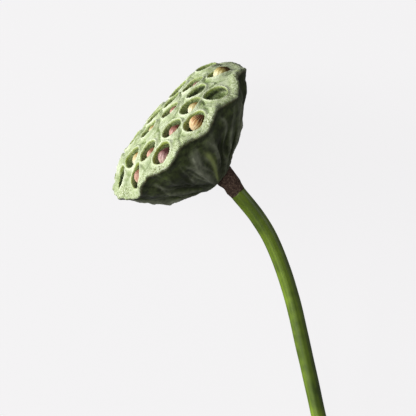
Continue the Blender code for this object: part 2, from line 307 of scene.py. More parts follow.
@dataclass(frozen=True)
class Whorl:
    """One ring of chambers: evenly spaced, then squeezed towards one side."""

    count: int
    radius: float
    phase: float
    centre: tuple[float, float]
    squeeze: float
    squeeze_side: float
    chamber_radius: float
    empty: tuple[int, ...] = ()

    def points(self) -> list[np.ndarray]:
        """Place the ring's chambers, before their neighbours push them.

        Returns:
            The middles of their mouths.
        """
        points = []
        for turn in range(self.count):
            angle = math.radians(self.phase) + turn * math.tau / self.count
            angle += math.radians(self.squeeze) * math.sin(angle - math.radians(self.squeeze_side))
            spoke = np.array((math.cos(angle), math.sin(angle)))
            points.append((np.array(self.centre) + self.radius * spoke) * MM)
        return points


WHORLS = (
    Whorl(12, 37.7, 73.0, (-1.8, -2.9), 8.0, 297.0, 6.5 * MM, empty=(4, 8)),
    Whorl(9, 25.6, -62.0, (-3.8, -9.4), -13.0, -23.0, 6.2 * MM, empty=(1,)),
    Whorl(4, 10.4, 21.0, (-1.3, -4.8), 7.0, 248.0, 5.7 * MM),
)
WIDEST_CHAMBER = WHORLS[0].chamber_radius


@dataclass
class Chamber:
    """A seed chamber: the middle of its mouth, its axis, and how far its mouth is from round."""

    mouth: Vector
    axis: Vector
    radius: float
    outer: bool
    holds_seed: bool
    wobble: tuple[float, float]
    mouth_share: float

    flatness: float = 0.88
    wobble_two: float = 0.035
    wobble_three: float = 0.03

    def turn(self) -> Matrix:
        """Give the turn that lays local +Z along the chamber's axis."""
        return Vector((0.0, 0.0, 1.0)).rotation_difference(self.axis).to_matrix()

    def matrix(self) -> Matrix:
        """Give local axes with +Z out of the mouth, at the middle of the slightly oval mouth."""
        flatten = Matrix.Diagonal((1.0, self.flatness, 1.0, 1.0))
        return Matrix.Translation(self.mouth) @ self.turn().to_4x4() @ flatten

    def reach(self, angle: np.ndarray) -> np.ndarray:
        """Measure the mouth.

        Args:
            angle: Angles round the chamber's axis.

        Returns:
            The mouth's radius at each of them.
        """
        two, three = self.wobble
        shape = self.wobble_two * np.sin(2 * angle + two) + self.wobble_three * np.sin(3 * angle + three)
        return self.radius * self.mouth_share * (1.0 + shape)

    def from_wall(self, places: np.ndarray) -> tuple[np.ndarray, np.ndarray]:
        """Measure places against the chamber's wall.

        Args:
            places: Points in the pod's axes, one row each.

        Returns:
            How far outside the wall each is, negative inside, and its height over the mouth.
        """
        local = (places - np.array(self.mouth)) @ np.array(self.turn())
        across = np.hypot(local[:, 0], local[:, 1] / self.flatness)
        angle = np.arctan2(local[:, 1] / self.flatness, local[:, 0])
        return across - self.reach(angle), local[:, 2]


@dataclass(frozen=True)
class PodSkin:
    """Skin of a fresh seed head: matt and waxy, pale on its face, dark on its back with a painted sheen on
    its fold crests.
    """

    face_light: str = "#bec7a6"
    face_mid: str = "#a0ad7c"
    face_deep: str = "#7b8f50"
    # Deep green: painted shade in the face's creases, and a dark tone inside the chambers.
    groove: str = "#566a2c"
    # Pale lips: partly their own paler tone, partly a painted highlight on their raised crests.
    lip: str = "#d3dabb"
    # Painted glow: light shining through the thin edges of the lips.
    lip_glow: str = "#8c9d30"
    wall: str = "#a0b07a"
    # The dark of painted shade: deep in the chambers and under the rim's edge.
    well: str = "#171f0c"
    back_dark: str = "#353c1f"
    back_mid: str = "#59653b"
    back_green: str = "#6d7f3c"
    # Painted sheen on the crests of the back's folds and faintly near its base.
    painted_sheen: str = "#c3c8ae"
    # Painted highlight along the one ridge down the upper side of the back.
    bright: str = "#cbdb84"
    rim_line: str = "#5f5230"
    speckle: str = "#e4e4d2"

    def material(self) -> bpy.types.Material:
        """Build the skin: zones by the piece's masks, each mottled at its own real scale.

        Returns:
            The material.
        """
        made, tree, shader = new_material("fresh lotus pod skin")
        place = add_node(tree, "ShaderNodeTexCoord").outputs["Object"]

        def grain(size: float, detail: float, rough: float = 0.5) -> bpy.types.NodeSocket:
            """Give noise with features of a size in millimetres."""
            return add_node(tree, "ShaderNodeTexNoise", {"Scale": per_mm(size), "Detail": detail,
                            "Roughness": rough}, {"Vector": place}).outputs["Fac"]

        def mask(name: str) -> bpy.types.NodeSocket:
            """Give one of the piece's masks."""
            return add_node(tree, "ShaderNodeAttribute", attribute_name=name).outputs["Fac"]

        def ramp(source: bpy.types.NodeSocket, *stops: tuple) -> bpy.types.NodeSocket:
            """Colour a value by stops."""
            return add_node(tree, "ShaderNodeValToRGB", links={"Fac": source}, ramp=stops).outputs["Color"]

        def over(factor: bpy.types.NodeSocket, below: bpy.types.NodeSocket,
                 above: bpy.types.NodeSocket | str) -> bpy.types.NodeSocket:
            """Lay a colour over another.

            Args:
                factor: How much of the upper colour shows.
                below: The lower colour.
                above: The upper colour, or its hex digits.

            Returns:
                The mixed colour.
            """
            plain = isinstance(above, str)
            return add_node(tree, "ShaderNodeMix", {7: linear(above)} if plain else {},
                            {0: factor, 6: below} if plain else {0: factor, 6: below, 7: above},
                            data_type="RGBA").outputs[2]

        def scaled(source: bpy.types.NodeSocket, low: float, high: float,
                   start: float = 0.0, end: float = 1.0) -> bpy.types.NodeSocket:
            """Stretch part of a value's range onto another."""
            return add_node(tree, "ShaderNodeMapRange",
                            {1: low, 2: high, 3: start, 4: end}, {0: source}).outputs[0]

        def both(first: bpy.types.NodeSocket, second: bpy.types.NodeSocket) -> bpy.types.NodeSocket:
            """Multiply two values."""
            return add_node(tree, "ShaderNodeMath", {}, {0: first, 1: second},
                            operation="MULTIPLY").outputs[0]

        blotches, crumbs, broad = grain(5.0, 4.0, 0.6), grain(0.9, 3.0, 0.7), grain(16.0, 2.0)
        face = ramp(blotches, (0.34, self.face_deep), (0.48, self.face_mid), (0.62, self.face_light))
        face = over(scaled(broad, 0.42, 0.7, 0.0, 0.5), face, self.face_light)
        face = over(scaled(crumbs, 0.52, 0.7, 0.0, 0.5), face, self.face_light)
        face = over(scaled(crumbs, 0.46, 0.3, 0.0, 0.5), face, self.face_deep)
        # Painted shade: the creases between the cells are darkened.
        face = over(both(mask("groove"), scaled(blotches, 0.35, 0.6, 0.9, 0.4)), face, self.groove)
        # Paler on the raised lips round each mouth: partly their own tone, partly a painted highlight.
        face = over(both(mask("lip"), scaled(blotches, 0.35, 0.6, 0.4, 0.9)), face, self.lip)
        rim = ramp(crumbs, (0.36, self.face_deep), (0.46, self.face_mid), (0.58, self.face_light))
        face = over(both(mask("rim_band"), scaled(broad, 0.3, 0.6, 0.5, 0.9)), face, rim)
        face = over(both(mask("grains"), scaled(crumbs, 0.55, 0.7, 0.0, 0.8)), face, self.speckle)
        face = over(both(mask("grains"), scaled(crumbs, 0.44, 0.36, 0.0, 0.8)), face, self.rim_line)
        # Painted glow of light through the thin lip edges, just inside each mouth.
        face = over(mask("lip_glow"), face, self.lip_glow)
        # Painted shade: full chambers darken with depth, and empty ones get a painted shadow just inside the
        # mouth.
        inside = over(mask("well"), ramp(crumbs, (0.36, self.groove), (0.62, self.wall)), self.well)
        # Deep in the empty chambers the inside mask is lifted, so the face's pale colours show there as
        # painted light.
        face = over(mask("inside"), face, inside)

        streaks = grain(3.5, 5.0, 0.65)
        back = ramp(streaks, (0.36, self.back_dark), (0.54, self.back_mid), (0.72, self.back_green))
        # Painted shade in the hollows between the back's folds.
        back = over(mask("hollow"), back, self.back_dark)
        # Painted sheen on the fold crests of the back.
        back = over(both(mask("fold"), scaled(streaks, 0.3, 0.6, 0.4, 0.95)), back, self.painted_sheen)
        # Painted highlight on the raised stripe down the back.
        back = over(both(mask("streak"), scaled(streaks, 0.3, 0.6, 0.8, 1.0)), back, self.bright)
        # A faint painted sheen near the base.
        back = over(both(mask("base"), scaled(streaks, 0.3, 0.6, 0.0, 0.2)), back, self.painted_sheen)
        # Painted shade under the rim's edge, in the chamber dark.
        back = over(mask("under_rim"), back, self.well)
        skin = over(mask("back"), face, back)
        skin = over(both(mask("rim_line"), scaled(blotches, 0.35, 0.55, 0.5, 1.0)), skin, self.rim_line)

        # Living skin under a waxy bloom: matt and soft, with a faint sheen where it turns away.
        rough = scaled(crumbs, 0.3, 0.7, 0.5, 0.7)
        tree.links.new(skin, shader.inputs["Base Color"])
        tree.links.new(rough, shader.inputs["Roughness"])
        shader.inputs["Sheen Weight"].default_value = 0.15
        shader.inputs["Sheen Roughness"].default_value = 0.4
        shader.inputs["IOR"].default_value = 1.42
        fine = add_node(tree, "ShaderNodeBump", {"Strength": 0.6, "Distance": 0.25 * MM},
                        {"Height": crumbs})
        tree.links.new(fine.outputs["Normal"], shader.inputs["Normal"])
        return made


class SeedTone(Enum):
    """Colours of a nut from its pale end over its middle to its dark end, where ripening and painted shade
    meet, and of its lines.
    """

    CREAM = ("#e6e2c6", "#d2c795", "#a2773f", "#b39a5c")
    OLIVE = ("#e2dfb4", "#c3b473", "#5a3d1c", "#93803f")
    ORANGE = ("#dfc59c", "#b58148", "#541f12", "#e8cf92")
    PINK = ("#cbaaa0", "#a27a73", "#4a2426", "#6a4143")
    SALMON = ("#dcb7a0", "#bf937c", "#80503a", "#a5725c")
    ROSE = ("#d3ad9c", "#aa7867", "#5c2f24", "#8a5346")


@dataclass(frozen=True)
class NutSkin:
    """Shell of a fresh lotus nut: a smooth satin skin with fine lines from end to end."""

    tone: SeedTone

    def material(self) -> bpy.types.Material:
        """Build the shell: a darkening towards one end that is partly ripening and partly painted shade, fine
        long lines and a dark point.

        Returns:
            The material.
        """
        made, tree, shader = new_material(f"lotus nut shell {self.tone.name.lower()}")
        pale, middle, ripe_and_shade, stripe = self.tone.value
        place = add_node(tree, "ShaderNodeTexCoord").outputs["Object"]

        def mask(name: str) -> bpy.types.NodeSocket:
            """Give one of the nut's masks."""
            return add_node(tree, "ShaderNodeAttribute", attribute_name=name).outputs["Fac"]

        def math_of(kind: str, first: bpy.types.NodeSocket,
                    second: bpy.types.NodeSocket | float) -> bpy.types.NodeSocket:
            """Join a value with a value or a number.

            Args:
                kind: The name of the sum to do.
                first: The first value.
                second: The second value, or a number.

            Returns:
                The result.
            """
            plain = isinstance(second, float)
            return add_node(tree, "ShaderNodeMath", {1: second} if plain else {},
                            {0: first} if plain else {0: first, 1: second}, operation=kind).outputs[0]

        cloud = add_node(tree, "ShaderNodeTexNoise", {"Scale": per_mm(2.5), "Detail": 4.0},
                         {"Vector": place}).outputs["Fac"]
        stirred = math_of("MULTIPLY", math_of("SUBTRACT", cloud, 0.5), 0.7)
        # Darker towards one end: partly ripening, partly painted shade on the side turned from the light.
        ripeness_and_shade = math_of("ADD", mask("ripe_and_shade"), stirred)
        ripeness_and_shade = math_of("ADD", ripeness_and_shade, math_of("MULTIPLY", mask("tip"), 0.5))
        colour = add_node(tree, "ShaderNodeValToRGB", links={"Fac": ripeness_and_shade},
                          ramp=((0.28, pale), (0.55, middle), (0.86, ripe_and_shade))).outputs["Color"]
        striped = math_of("MULTIPLY", math_of("MAXIMUM", mask("line"), 0.0), math_of("MULTIPLY", cloud, 1.5))
        colour = add_node(tree, "ShaderNodeMix", {7: linear(stripe)}, {0: striped, 6: colour},
                          data_type="RGBA").outputs[2]
        tree.links.new(colour, shader.inputs["Base Color"])
        # A smooth, ripening husk: satin, with a broad soft highlight.
        shader.inputs["Roughness"].default_value = 0.45
        shader.inputs["IOR"].default_value = 1.45
        fine = add_node(tree, "ShaderNodeBump", {"Strength": 0.3, "Distance": 0.1 * MM},
                        {"Height": mask("line")})
        tree.links.new(fine.outputs["Normal"], shader.inputs["Normal"])
        return made


@dataclass(frozen=True)
class CollarBark:
    """Dry brown skin of the neck under the head: rough, dull and fibrous."""

    dark: str = "#382820"
    middle: str = "#6c5346"
    light: str = "#b09783"

    def material(self) -> bpy.types.Material:
        """Build the bark: dark between its fibres and paler on their crests.

        Returns:
            The material.
        """
        made, tree, shader = new_material("dry brown neck skin")
        place = add_node(tree, "ShaderNodeTexCoord").outputs["Object"]
        crumbs = add_node(tree, "ShaderNodeTexNoise", {"Scale": per_mm(1.1), "Detail": 5.0,
                          "Roughness": 0.7}, {"Vector": place}).outputs["Fac"]
        colour = add_node(tree, "ShaderNodeValToRGB", links={"Fac": crumbs},
                          ramp=((0.34, self.dark), (0.52, self.middle), (0.72, self.light)))
        tree.links.new(colour.outputs["Color"], shader.inputs["Base Color"])
        # Dry, torn fibre: dull, with a broken surface that shows no highlight.
        shader.inputs["Roughness"].default_value = 0.85
        fine = add_node(tree, "ShaderNodeBump", {"Strength": 0.8, "Distance": 0.3 * MM},
                        {"Height": crumbs})
        tree.links.new(fine.outputs["Normal"], shader.inputs["Normal"])
        return made


@dataclass(frozen=True)
class StalkSkin:
    """Smooth fresh skin of the stalk: satin green, with faint long lines and a pale cut end."""

    dark: str = "#465c0c"
    light: str = "#86a324"
    pith: str = "#c9d29a"

    def material(self) -> bpy.types.Material:
        """Build the skin: two greens drawn out along the stalk, and pith where it is cut.

        Returns:
            The material.
        """
        made, tree, shader = new_material("fresh stalk skin")
        place = add_node(tree, "ShaderNodeTexCoord").outputs["Object"]
        lines = add_node(tree, "ShaderNodeAttribute", attribute_name="line").outputs["Fac"]
        cut = add_node(tree, "ShaderNodeAttribute", attribute_name="cut").outputs["Fac"]
        cloud = add_node(tree, "ShaderNodeTexNoise", {"Scale": per_mm(14.0), "Detail": 3.0},
                         {"Vector": place}).outputs["Fac"]
        mixed = add_node(tree, "ShaderNodeMath", {1: 0.12}, {0: lines}, operation="MULTIPLY")
        mixed = add_node(tree, "ShaderNodeMath", {}, {0: mixed.outputs[0], 1: cloud}, operation="ADD")
        colour = add_node(tree, "ShaderNodeValToRGB", links={"Fac": mixed.outputs[0]},
                          ramp=((0.35, self.dark), (0.75, self.light)))
        ended = add_node(tree, "ShaderNodeMix", {7: linear(self.pith)},
                         {0: cut, 6: colour.outputs["Color"]}, data_type="RGBA")
        tree.links.new(ended.outputs[2], shader.inputs["Base Color"])
        # Taut living skin under a film of wax: a clear soft highlight runs along it.
        shader.inputs["Roughness"].default_value = 0.45
        shader.inputs["IOR"].default_value = 1.5
        shader.inputs["Coat Weight"].default_value = 1.0
        shader.inputs["Coat Roughness"].default_value = 0.36
        # The real pores are too fine to show, so they are drawn coarser.
        pores = add_node(tree, "ShaderNodeTexNoise", {"Scale": per_mm(1.4), "Detail": 2.0},
                         {"Vector": place}).outputs["Fac"]
        fine = add_node(tree, "ShaderNodeBump", {"Strength": 0.12, "Distance": 0.08 * MM},
                        {"Height": pores})
        tree.links.new(fine.outputs["Normal"], shader.inputs["Normal"])
        return made


@dataclass
class SeedHead:
    """The receptacle: a domed face of open chambers, a wavy rim and a folded back."""

    rim_radius: float = 48.0 * MM
    face_rise: float = 15.2 * MM
    face_power: float = 3.0
    depth: float = 32.0 * MM
    base_radius: float = 9.4 * MM
    tilt: float = math.radians(12.0)
    rest_cut: float = 1.2 * MM

    lobe_height: float = 0.9 * MM
    swell_height: float = 1.2 * MM
    swell_side: float = math.pi
    waves: tuple = ((1, 1.3, 180.0), (5, 1.3, -118.0), (6, 1.3, 176.0), (10, 1.0, -30.0), (11, 1.5, 87.0))
    wave_power: int = 5
    wave_reach: float = 9.0 * MM
    shoulders: tuple = ((36.0, 16.0, 4.5, 10.0), (-34.0, 15.0, 1.0, 8.0), (-34.0, 2.0, 2.0, 7.0))
    rib_count: int = 18
    rib_height: float = 0.75 * MM
    rib_wander: float = math.radians(7.0)
    lean: float = 6.0 * MM
    lean_power: float = 1.1

    chamber_depth_ratio: float = 1.62
    chamber_lean: float = 0.6
    mouth_shares: dict = field(default_factory=lambda: {8: 0.91, 10: 0.78, 13: 0.84})
    chamber_wall: float = 1.0 * MM
    chamber_limit: float = 40.2 * MM
    headroom: float = 8.0 * MM

    lip_height: float = 1.3 * MM
    lip_middle: float = 0.75 * MM
    lip_width: float = 0.7 * MM
    groove_depth: float = 1.1 * MM
    groove_width: float = 0.75 * MM
    border_height: float = 0.7 * MM
    border_middle: float = 46.0 * MM
    border_width: float = 1.9 * MM
    jag_height: float = 1.1 * MM
    jag_counts: tuple = (9, 24)
    bump_height: float = 0.6 * MM
    bump_counts: tuple = (7, 20)
    rim_trims: tuple = ((-114.0, 2.4, 12.0), (20.0, 2.8, 5.0), (37.0, 3.0, 5.0))
    broad_folds: tuple = (19, 0.13)
    broad_height: float = 2.1 * MM
    fine_folds: tuple = (61, 0.045)
    fine_height: float = 0.9 * MM
    fold_level: float = 0.5
    fold_outward: tuple = (0.0, 4.0 * MM)
    fold_inward: tuple = (7.0 * MM, 15.0 * MM)
    undercut: float = 0.5 * MM
    undercut_depth: float = 3.4 * MM
    undercut_width: float = 1.2 * MM
    streak_side: float = math.radians(-95.0)
    streak_width: float = 0.04
    streak_height: float = 0.9 * MM
    crumb_height: float = 0.14 * MM
    crumb_sizes: tuple = (1.3 * MM, 0.7 * MM)
    soft_height: float = 0.25 * MM
    soft_sizes: tuple = (6.0 * MM, 3.0 * MM)
    grain_height: float = 0.4 * MM
    grain_size: float = 1.2 * MM
    cluster_size: float = 9.0 * MM
    deepest_inside: float = 12.0 * MM
    voxel: float = 0.42 * MM
    most_triangles: int = 190000
    random_seed: int = 7
    chambers: list = field(default_factory=list)

    def rim_wave(self, angle: Values) -> Values:
        """Give the height of the rim's out-of-plane wave at an angle round the head."""
        return sum(height * MM * np.sin(count * angle + math.radians(phase))
                   for count, height, phase in self.waves)

    def rim_lobes(self, angle: Values) -> Values:
        """Give the rim's outward swelling: a lobe beside each outer chamber, and one to a side."""
        lobes = self.lobe_height * np.cos(WHORLS[0].count * (angle - math.radians(WHORLS[0].phase)))
        return lobes + self.swell_height * np.cos(angle - self.swell_side)

    def rim_share(self, radius: Values, depth: Values) -> Values:
        """Give how far a point follows the rim's lobes and wave, from 0 to 1."""
        fade = np.exp(-np.maximum(depth, 0.0) / self.wave_reach)
        return (radius / self.rim_radius) ** self.wave_power * fade

    def shoulder_rise(self, x: Values, y: Values) -> Values:
        """Give how much higher than the plain dome the face stands at a point."""
        return sum(height * MM * np.exp(-((x - a * MM) ** 2 + (y - b * MM) ** 2) / (2 * (spread * MM) ** 2))
                   for a, b, height, spread in self.shoulders)

    def dome(self, radius: Values) -> Values:
        """Give the height of the plain dome at a radius."""
        return self.face_rise * (1 - (radius / self.rim_radius) ** self.face_power)

    def face_height(self, x: Values, y: Values) -> Values:
        """Work out how high the face stands over the plane of the rim.

        Args:
            x: Place across the face.
            y: Place along the face.

        Returns:
            Its height there.
        """
        radius = np.hypot(x, y)
        wave = self.rim_wave(np.arctan2(y, x)) * self.rim_share(radius, 0.0)
        return self.dome(radius) + self.shoulder_rise(x, y) + wave

    def axes(self) -> Matrix:
        """Lay the pod down.

        Returns:
            The matrix from the pod's axes to the world.
        """
        sine, cosine = math.sin(self.tilt), math.cos(self.tilt)
        lowest = self.rim_radius + float(self.rim_lobes(math.pi / 2))
        wave = float(self.rim_wave(math.pi / 2)) - 1.5 * MM
        centre = Vector((-(lowest * sine + wave * cosine), 0.0,
                         lowest * cosine - wave * sine - self.rest_cut))
        turn = Matrix(((0.0, sine, cosine), (-1.0, 0.0, 0.0), (0.0, -cosine, sine))).to_4x4()
        return Matrix.Translation(centre) @ turn

    def press_apart(self, points: np.ndarray, radii: np.ndarray) -> np.ndarray:
        """Let chambers push their neighbours away until a wall fits between them.

        Args:
            points: Middles of the mouths.
            radii: Their radii.

        Returns:
            The middles after the push.
        """
        needed = radii[:, None] + radii[None, :] + self.chamber_wall
        np.fill_diagonal(needed, 0.0)
        for _ in range(40):
            apart = points[:, None] - points[None, :]
            distance = np.maximum(np.hypot(apart[..., 0], apart[..., 1] / Chamber.flatness), 0.01 * MM)
            push = np.maximum(0.0, needed - distance) * 0.25 / distance
            points = points + (push[..., None] * apart).sum(axis=1)
            reach = np.linalg.norm(points, axis=1)
            points = points * np.minimum(1.0, self.chamber_limit / reach)[:, None]
        return points

    def lay_out_chambers(self) -> None:
        """Place all the chambers of the face, whorl by whorl."""
        draw = random.Random(self.random_seed)
        owners = [(whorl, index) for whorl in WHORLS for index in range(whorl.count)]
        middles = np.array([point for whorl in WHORLS for point in whorl.points()])
        radii = np.array([whorl.chamber_radius for whorl, _ in owners])
        for (whorl, index), (x, y) in zip(owners, self.press_apart(middles, radii)):
            radius = math.hypot(x, y)
            slope = self.face_power * self.face_rise / self.rim_radius
            slope *= (radius / self.rim_radius) ** (self.face_power - 1)
            lean = self.chamber_lean * slope / radius
            wobble = (draw.uniform(0.0, math.tau), draw.uniform(0.0, math.tau))
            self.chambers.append(Chamber(
                Vector((x, y, float(self.face_height(x, y)))), Vector((x * lean, y * lean, 1.0)).normalized(),
                whorl.chamber_radius, whorl is WHORLS[0], index not in whorl.empty, wobble,
                self.mouth_shares.get(len(self.chambers), 0.96)))

    def profile(self) -> np.ndarray:
        """Draw the head's outline from the top of its dome, over the rim and down its back.

        Returns:
            Radius and height, one row for each point.
        """
        dome = [(radius, self.dome(radius)) for radius in np.linspace(0.0, 44.0 * MM, 45)]
        turn = ((45.0, self.dome(45.0 * MM) / MM), (47.1, 1.4), (47.95, 0.4), (47.5, -0.6), (46.4, -1.8),
                (44.9, -3.4))
        back = ((43.4, -5.4), (39.5, -9.8), (27.8, -19.6), (16.4, -27.0), (9.9, -31.4))
        edge = smooth_path(np.array(turn + back) * MM, 8)
        base = [(self.base_radius, -self.depth), (0.0, -self.depth)]
        return np.vstack((dome, edge, base))

    def wall_distances(self, places: np.ndarray) -> tuple[np.ndarray, np.ndarray, np.ndarray]:
        """Measure places against all chambers.

        Args:
            places: Points in the pod's axes.

        Returns:
            Distance outside the nearest wall, distance outside the next one, and the height over
            the nearest one's mouth.
        """
        measured = [chamber.from_wall(places) for chamber in self.chambers]
        outside = np.array([row[0] for row in measured])
        order = np.argsort(outside, axis=0)[:2]
        columns = np.arange(len(places))
        heights = np.array([row[1] for row in measured])[order[0], columns]
        return outside[order[0], columns], outside[order[1], columns], heights

    def shape(self, places: np.ndarray) -> np.ndarray:
        """Press rim, lobes, ribs, lean, lips and grooves into the plain turned head.

        Args:
            places: The turned head's vertices.

        Returns:
            Where they go.
        """
        x, y, z = places.T
        radius, angle, depth = np.hypot(x, y), np.arctan2(y, x), np.maximum(-z, 0.0)
        share, fade = self.rim_share(radius, depth), np.exp(-depth / self.wave_reach)
        on_side = np.sin(np.pi * np.clip(depth / self.depth, 0.0, 1.0)) ** 0.7
        wander = self.rib_wander * np.sin(3 * angle + 4 * depth / self.depth)
        ribs = self.rib_height * on_side * np.cos(self.rib_count * angle + 2 * wander)
        ring, (few, many) = on_circle(angle), self.jag_counts
        jag = noise_field(few * ring, 3) + 0.5 * noise_field(many * ring, 4)
        new_radius = radius + self.rim_lobes(angle) * share + ribs + self.jag_height * jag * share
        new_radius -= self.undercut * np.exp(-((depth - self.undercut_depth) / self.undercut_width) ** 2)
        moved = np.stack((new_radius * np.cos(angle) - self.lean * (depth / self.depth) ** self.lean_power,
                          new_radius * np.sin(angle),
                          z + (self.rim_wave(angle) + self.rim_bumps(angle)) * share
                          + self.shoulder_rise(x, y) * fade), axis=1)
        near, next_near, _ = self.wall_distances(moved)
        on_face = smoothstep(-2.5 * MM, 0.0, z)
        lip = self.lip_height * np.exp(-((near - self.lip_middle) / self.lip_width) ** 2)
        groove = self.groove_depth * self.creases(moved, near, next_near)
        border = np.exp(-((radius - self.border_middle) / self.border_width) ** 2)
        border *= self.border_height * smoothstep(0.6 * MM, 2.2 * MM, near)
        moved[:, 2] += (lip - groove + border) * on_face
        return moved

    def rim_bumps(self, angle: np.ndarray) -> np.ndarray:
        """Work out the small bumps and trims of the rim's wave.

        Args:
            angle: Angles round the head.

        Returns:
            Their height at each angle.
        """
        ring, (few, many) = on_circle(angle), self.bump_counts
        total = self.bump_height * (noise_field(few * ring, 5) + 0.5 * noise_field(many * ring, 6))
        for side, height, spread in self.rim_trims:
            away = (np.degrees(angle) - side + 180.0) % 360.0 - 180.0
            total += height * MM * np.exp(-(away / spread) ** 2)
        return total

    def creases(self, places: np.ndarray, near: np.ndarray, next_near: np.ndarray) -> np.ndarray:
        """Give the creases of the face: between its cells, and between them and the rim.

        Args:
            places: Points in the pod's axes.
            near: Their distance outside the nearest chamber's wall.
            next_near: Their distance outside the next one's.

        Returns:
            From 0 away from all creases to 1 in the middle of one.
        """
        between = np.exp(-((next_near - near) / self.groove_width) ** 2)
        radius = np.hypot(places[:, 0], places[:, 1])
        along_rim = np.exp(-((near - 3.0 * MM) / (0.7 * MM)) ** 2) * smoothstep(39.0 * MM, 41.0 * MM, radius)
        along_rim *= smoothstep(45.5 * MM, 44.0 * MM, radius)
        broken = 0.5 + 0.5 * noise_field(places / (7.0 * MM), 11)
        both = np.maximum(between, along_rim * smoothstep(0.35, 0.7, broken))
        return both * smoothstep(0.5 * MM, 1.3 * MM, near)

    def chamber_cutter(self, chamber: Chamber, number: int) -> bpy.types.Object:
        """Make the solid that hollows out one chamber.

        Args:
            chamber: The chamber.
            number: Its place in the order, for the name.

        Returns:
            The solid, where it cuts.
        """
        floor = -self.chamber_depth_ratio * chamber.radius
        shares = ((0.99, 0.4), (0.9, 0.74), (0.62, 0.94), (0.0, 1.0))
        wall = smooth_path([(1.0, self.headroom), (1.0, 0.0)] + [(w, floor * d) for w, d in shares], 4)
        profile = np.vstack(((0.0, self.headroom), wall))
        profile[:, 0] = np.clip(profile[:, 0], 0.0, 1.0)
        cutter = turned_solid(f"chamber_cutter_{number:02d}", profile, 48, 40)
        places = vertex_places(cutter.data)
        angle = np.arctan2(places[:, 1], places[:, 0])
        places[:, :2] *= chamber.reach(angle)[:, None]
        move_vertices(cutter.data, places)
        cutter.data.transform(chamber.matrix())
        return cutter

    def build(self) -> bpy.types.Object:
        """Model the head and put it where the solid is.

        Returns:
            The finished mesh object, without its material.
        """
        self.lay_out_chambers()
        head = turned_solid("seed_head", self.profile(), 160, 72, cuts=3)
        move_vertices(head.data, self.shape(vertex_places(head.data)))
        cutters = [self.chamber_cutter(chamber, number) for number, chamber in enumerate(self.chambers, 1)]
        holes = bpy.data.collections.new("chamber cutters")
        bpy.context.scene.collection.children.link(holes)
        for cutter in cutters:
            for owner in list(cutter.users_collection):
                owner.objects.unlink(cutter)
            holes.objects.link(cutter)
        apply_modifier(head, "BOOLEAN", operation="DIFFERENCE", operand_type="COLLECTION",
                       collection=holes, solver="MANIFOLD")
        for cutter in cutters:
            bpy.data.objects.remove(cutter)
        bpy.data.collections.remove(holes)
        apply_modifier(head, "REMESH", mode="VOXEL", voxel_size=self.voxel)
        apply_modifier(head, "SMOOTH", factor=0.5, iterations=2)
        self.roughen(head.data)
        triangles = sum(len(face.vertices) - 2 for face in head.data.polygons)
        if triangles > self.most_triangles:
            apply_modifier(head, "DECIMATE", ratio=self.most_triangles / triangles)
        self.mask(head.data)
        head.data.transform(self.axes())
        cut_at_surface(head)
        return head

    def back_lines(self, places: np.ndarray) -> tuple[np.ndarray, np.ndarray]:
        """Give each point's share of the way down the back, and its angle round the leaning middle."""
        depth = np.clip(-places[:, 2] / self.depth, 0.0, 1.0)
        return depth, np.arctan2(places[:, 1], places[:, 0] + self.lean * depth ** self.lean_power)

    def folds(self, places: np.ndarray, count: int, widest: float) -> np.ndarray:
        """Give the long folds of the back, that fan out from its base to the rim.

        Args:
            places: Points in the pod's axes.
            count: How many folds there are.
            widest: The half width of the widest one, as an angle.

        Returns:
            From about -0.5 in the hollows to 1 on a sharp crest.
        """
        draw = np.random.default_rng(self.random_seed + count)
        depth, angle = self.back_lines(places)
        total = np.zeros(len(places))
        for index in range(count):
            home = (index + draw.uniform(-0.45, 0.45)) * math.tau / count
            bend, wave, height, width = draw.uniform((-0.3, 0.0, 0.35, 0.45), (0.3, 0.06, 1.0, 1.0))
            start, stop = draw.uniform((0.05, 0.7), (0.45, 0.98))
            home = home + bend * (depth - 0.5) + wave * np.sin(9.0 * depth + index)
            away = ((angle - home + math.pi) % math.tau - math.pi) / (width * widest)
            reach = smoothstep(start - 0.12, start + 0.12, depth) * smoothstep(stop + 0.1, stop - 0.1, depth)
            hollow = 0.5 * np.exp(-(away - math.copysign(1.6, bend)) ** 2)
            total += height * (np.exp(-1.6 * np.abs(away)) - hollow) * reach
        return total

    def streak(self, places: np.ndarray) -> np.ndarray:
        """Find the one narrow ridge that runs down the upper side of the back, painted pale as a highlight.

        Args:
            places: Points in the pod's axes.

        Returns:
            From 0 away from it to 1 in its middle.
        """
        depth, angle = self.back_lines(places)
        width = self.streak_width * (0.7 + 0.8 * depth)
        away = (angle - self.streak_side - 0.15 * np.sin(3.0 * depth)) / width
        return np.exp(-away ** 2) * smoothstep(0.2, 0.4, depth) * smoothstep(1.0, 0.85, depth)

    def back_share(self, places: np.ndarray) -> np.ndarray:
        """Tell the back of the head from its face.

        Args:
            places: Points in the pod's axes.

        Returns:
            From 0 on the face to 1 on the back, turning over under the rim's edge.
        """
        x, y, z = places.T
        radius, angle = np.hypot(x, y), np.arctan2(y, x)
        level = z - self.rim_wave(angle) * self.rim_share(radius, 0.0)
        return smoothstep(-1.0 * MM, -1.9 * MM, level)

    def rim_level(self, places: np.ndarray) -> np.ndarray:
        """Measure points against the rim's wavy edge.

        Args:
            places: Points in the pod's axes.

        Returns:
            How high each is over the edge.
        """
        angle = np.arctan2(places[:, 1], places[:, 0])
        radius = np.hypot(places[:, 0], places[:, 1])
        share = self.rim_share(np.minimum(radius, self.rim_radius), 0.0)
        return places[:, 2] - (self.rim_wave(angle) + self.rim_bumps(angle)) * share

    def grain_clusters(self, places: np.ndarray) -> np.ndarray:
        """Give 1 where grains lie close together and 0 between those spots."""
        return smoothstep(0.0, 0.35, noise_field(places / self.cluster_size, 8))

